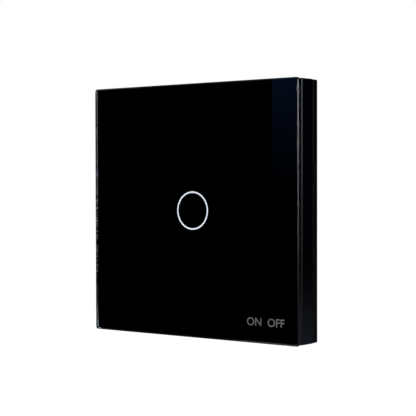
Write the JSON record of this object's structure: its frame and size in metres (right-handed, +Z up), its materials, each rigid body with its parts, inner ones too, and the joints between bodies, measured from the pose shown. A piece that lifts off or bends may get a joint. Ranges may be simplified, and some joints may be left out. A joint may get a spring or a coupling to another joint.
{
  "type": "wireless light switch",
  "caption": "Slim square touch light switch: black-backed glass with a white ring, on a coin-cell unit that snaps onto a wall plate.",
  "frame": {"origin": "centre of the wall plate's rear face, on the wall", "axes": "+Z up, +Y into the wall, so the glass faces -Y, and +X to the right seen from the front"},
  "size_m": [0.086, 0.012, 0.086],
  "materials": {
    "clear_glass": "polished clear glass",
    "black_ink": "opaque black ink behind the glass",
    "white_ink": "white translucent ink",
    "black_tape": "double-sided foam tape",
    "black_plastic": "fine satin moulding",
    "diffuser": "milky translucent",
    "conductive_foam": "soft conductive foam",
    "lamp": "phosphor on white",
    "green_board": "solder-masked laminate",
    "chip_black": "moulded epoxy",
    "nickel": "nickel plated",
    "component_ceramic": "fired ceramic",
    "brass_strip": "stamped strip",
    "cell_steel": "brushed can",
    "screw_steel": "zinc plated",
    "grey_foam": "closed-cell foam"
  },
  "bodies": {
    "plate": {"wall_plate": "black_plastic", "adhesive_pads": "grey_foam"},
    "unit": {"glass_panel": "clear_glass", "black_print": "black_ink", "ring_window": "white_ink", "panel_tape": "black_tape", "front_housing": "black_plastic", "light_guide": "diffuser", "touch_pad": "conductive_foam", "ring_leds": "lamp", "main_board": "green_board", "radio_chip": "chip_black", "touch_chip": "chip_black", "crystal": "nickel", "chip_components": "component_ceramic", "aerial": "brass_strip", "negative_contact": "nickel", "positive_contact": "nickel", "back_cover": "black_plastic", "case_screws": "screw_steel"},
    "cell": {"coin_cell": "cell_steel"},
    "door": {"battery_door": "black_plastic", "door_screws": "screw_steel"}
  },
  "joints": [
    {"name": "unit_release", "type": "slide", "parent": "plate", "child": "unit", "axis": [0, -1, 0], "range_m": [0, 0.03]},
    {"name": "coin_cell_lift", "type": "slide", "parent": "unit", "child": "cell", "axis": [0, 1, 0], "range_m": [0, 0.012]},
    {"name": "battery_door_lift", "type": "slide", "parent": "unit", "child": "door", "axis": [0, 1, 0], "range_m": [0, 0.015]}
  ],
  "couplings": [
    {"joint": "battery_door_lift", "follows": "coin_cell_lift", "ratio": 1.25}
  ]
}
